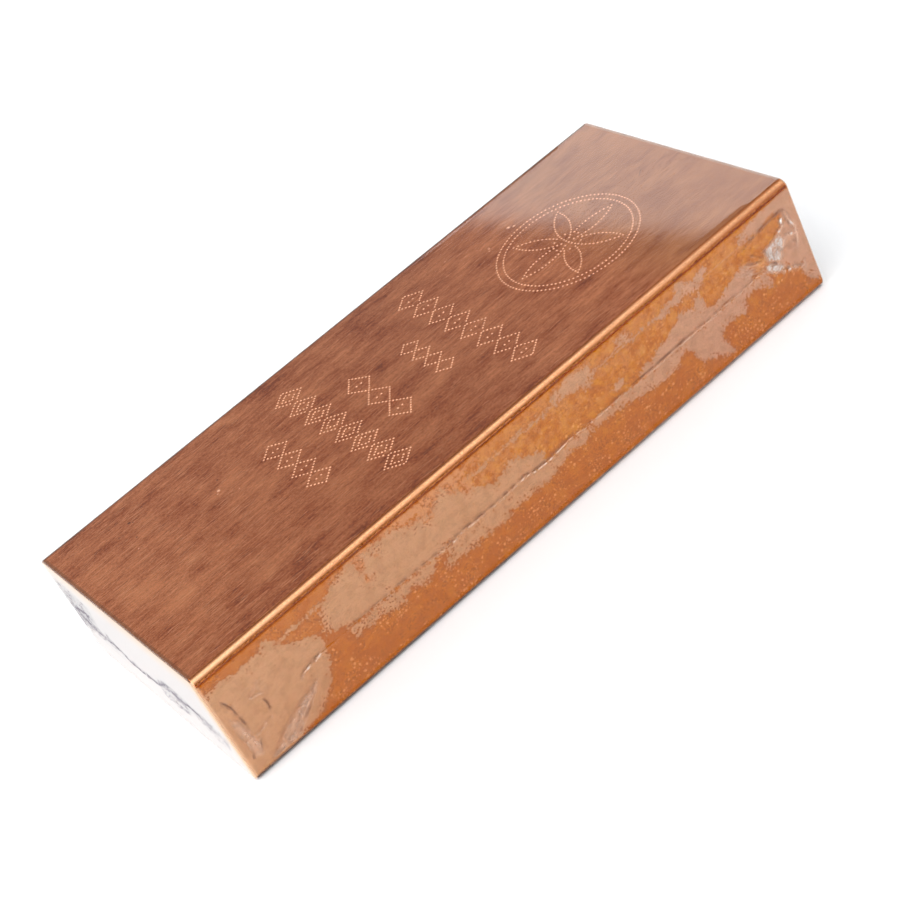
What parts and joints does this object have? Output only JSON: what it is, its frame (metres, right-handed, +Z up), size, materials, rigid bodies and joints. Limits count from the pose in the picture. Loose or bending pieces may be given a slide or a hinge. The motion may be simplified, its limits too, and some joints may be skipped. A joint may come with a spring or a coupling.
{
  "type": "copper ingot",
  "caption": "Flat rectangular bar of fine copper with brushed faces, rounded long edges and a dot-peened mark, closed in clear shrink film.",
  "frame": {"origin": "middle of the footprint, on the surface that the wrapped bar rests on", "axes": "+X along the bar's length, +Y across it towards the film's fold (the side without a seam), +Z up out of the marked face"},
  "size_m": [0.1146, 0.0494, 0.0202],
  "materials": {
    "brushed_copper": "copper, brushed along its length, satin",
    "clear_film": "clear glossy shrink film, wrinkled at the corners"
  },
  "bodies": {
    "root": {"ingot": "brushed_copper", "shrink_film": "clear_film"}
  },
  "joints": []
}
